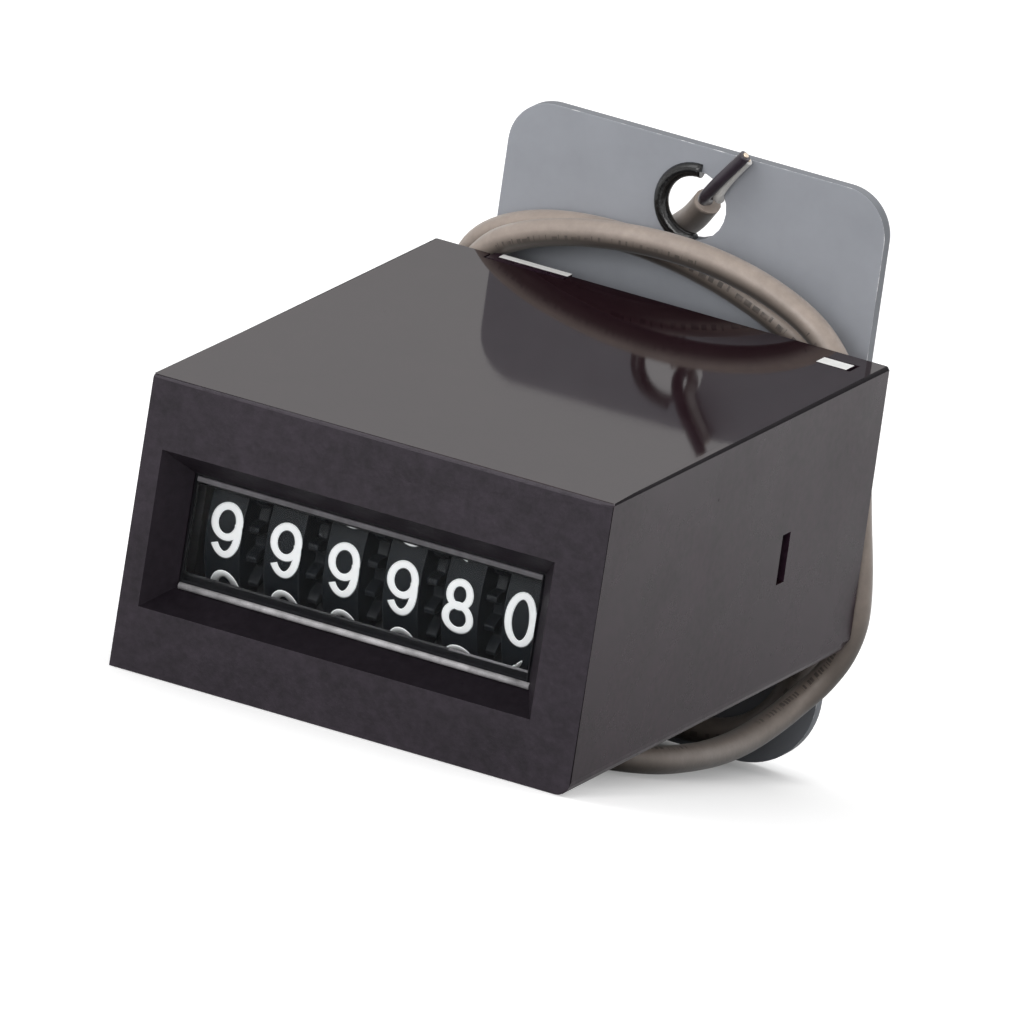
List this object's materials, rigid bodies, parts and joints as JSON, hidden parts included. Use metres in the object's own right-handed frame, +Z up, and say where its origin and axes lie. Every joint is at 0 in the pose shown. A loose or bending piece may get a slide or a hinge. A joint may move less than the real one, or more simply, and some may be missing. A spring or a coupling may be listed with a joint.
{
  "type": "electromagnetic digit counter",
  "caption": "Small electromagnetic counter: moulded case with recessed window, number wheels, magnet drive, rear mounting plate and a two-core cable wound behind the case.",
  "frame": {"origin": "on the middle line of the case, at the mounting plate's rear face, which bears on the panel or bracket that the counter is screwed to", "axes": "+X to the right seen from the front, +Y to the rear out of the mounting plate, +Z up; the window faces -Y"},
  "size_m": [0.0339, 0.0461, 0.0394],
  "materials": {
    "case_moulding": "glossy",
    "wheel_moulding": "satin",
    "window": "polished",
    "plated_sheet": "satin",
    "steel": "brushed",
    "brass": "satin",
    "copper_wire": "satin",
    "pale_nylon": "satin",
    "rubber": "matte",
    "cable_jacket": "satin",
    "core_black": "satin",
    "core_white": "satin"
  },
  "bodies": {
    "housing": {"case_shell": "case_moulding", "window_lens": "window", "rear_cover": "case_moulding", "mounting_plate": "plated_sheet", "plate_screw_lower": "steel", "plate_screw_upper": "steel", "cable_grommet": "rubber", "cable_lead": "cable_jacket", "cable_coil": "cable_jacket", "cable_tail": "cable_jacket", "core_black": "core_black", "core_white": "core_white", "inner_frame": "steel", "wheel_shaft": "steel", "pinion_shaft": "steel", "spacer_left": "pale_nylon", "spacer_right": "pale_nylon", "coil_bobbin": "pale_nylon", "coil_winding": "copper_wire", "magnet_core": "steel", "terminal_pin_1": "brass", "terminal_pin_2": "brass", "magnet_yoke": "steel", "armature_pin": "steel", "return_spring": "steel", "inner_lead_1": "copper_wire", "inner_lead_2": "copper_wire"},
    "wheel_units": {"number_wheel_units": "wheel_moulding", "star_wheel": "pale_nylon"},
    "wheel_tens": {"number_wheel_tens": "wheel_moulding"},
    "wheel_hundreds": {"number_wheel_hundreds": "wheel_moulding"},
    "wheel_thousands": {"number_wheel_thousands": "wheel_moulding"},
    "wheel_ten_thousands": {"number_wheel_ten_thousands": "wheel_moulding"},
    "wheel_hundred_thousands": {"number_wheel_hundred_thousands": "wheel_moulding"},
    "pinion_1": {"carry_pinion_1": "pale_nylon"},
    "pinion_2": {"carry_pinion_2": "pale_nylon"},
    "pinion_3": {"carry_pinion_3": "pale_nylon"},
    "pinion_4": {"carry_pinion_4": "pale_nylon"},
    "pinion_5": {"carry_pinion_5": "pale_nylon"},
    "rocker": {"armature": "steel", "pallet_fork": "brass"}
  },
  "joints": [
    {"name": "units_turn", "type": "hinge", "parent": "housing", "child": "wheel_units", "pos_m": [0.0094, -0.033, -0.00045], "axis": [1, 0, 0], "continuous": true},
    {"name": "tens_turn", "type": "hinge", "parent": "housing", "child": "wheel_tens", "pos_m": [0.0052, -0.033, -0.00045], "axis": [1, 0, 0], "continuous": true},
    {"name": "hundreds_turn", "type": "hinge", "parent": "housing", "child": "wheel_hundreds", "pos_m": [0.001, -0.033, -0.00045], "axis": [1, 0, 0], "continuous": true},
    {"name": "thousands_turn", "type": "hinge", "parent": "housing", "child": "wheel_thousands", "pos_m": [-0.003, -0.033, -0.00045], "axis": [1, 0, 0], "continuous": true},
    {"name": "ten_thousands_turn", "type": "hinge", "parent": "housing", "child": "wheel_ten_thousands", "pos_m": [-0.007, -0.033, -0.00045], "axis": [1, 0, 0], "continuous": true},
    {"name": "hundred_thousands_turn", "type": "hinge", "parent": "housing", "child": "wheel_hundred_thousands", "pos_m": [-0.011, -0.033, -0.00045], "axis": [1, 0, 0], "continuous": true},
    {"name": "pinion_1_turn", "type": "hinge", "parent": "housing", "child": "pinion_1", "pos_m": [0.007, -0.02581, -0.0046], "axis": [1, 0, 0], "continuous": true},
    {"name": "pinion_2_turn", "type": "hinge", "parent": "housing", "child": "pinion_2", "pos_m": [0.003, -0.02581, -0.0046], "axis": [1, 0, 0], "continuous": true},
    {"name": "pinion_3_turn", "type": "hinge", "parent": "housing", "child": "pinion_3", "pos_m": [-0.001, -0.02581, -0.0046], "axis": [1, 0, 0], "continuous": true},
    {"name": "pinion_4_turn", "type": "hinge", "parent": "housing", "child": "pinion_4", "pos_m": [-0.005, -0.02581, -0.0046], "axis": [1, 0, 0], "continuous": true},
    {"name": "pinion_5_turn", "type": "hinge", "parent": "housing", "child": "pinion_5", "pos_m": [-0.009, -0.02581, -0.0046], "axis": [1, 0, 0], "continuous": true},
    {"name": "armature_rock", "type": "hinge", "parent": "housing", "child": "rocker", "pos_m": [0, -0.0218, 0.0066], "axis": [1, 0, 0], "range_deg": [0, 3], "stiffness_Nm_per_rad": 0.002, "springref_deg": -20.05, "deforming": ["return_spring"]}
  ],
  "couplings": [
    {"joint": "tens_turn", "follows": "units_turn", "ratio": 0.1},
    {"joint": "hundreds_turn", "follows": "units_turn", "ratio": 0.01},
    {"joint": "thousands_turn", "follows": "units_turn", "ratio": 0.001},
    {"joint": "ten_thousands_turn", "follows": "units_turn", "ratio": 0.0001},
    {"joint": "hundred_thousands_turn", "follows": "units_turn", "ratio": 0.00001},
    {"joint": "pinion_1_turn", "follows": "units_turn", "ratio": -0.25},
    {"joint": "pinion_2_turn", "follows": "units_turn", "ratio": -0.025},
    {"joint": "pinion_3_turn", "follows": "units_turn", "ratio": -0.0025},
    {"joint": "pinion_4_turn", "follows": "units_turn", "ratio": -0.00025},
    {"joint": "pinion_5_turn", "follows": "units_turn", "ratio": -0.000025}
  ]
}
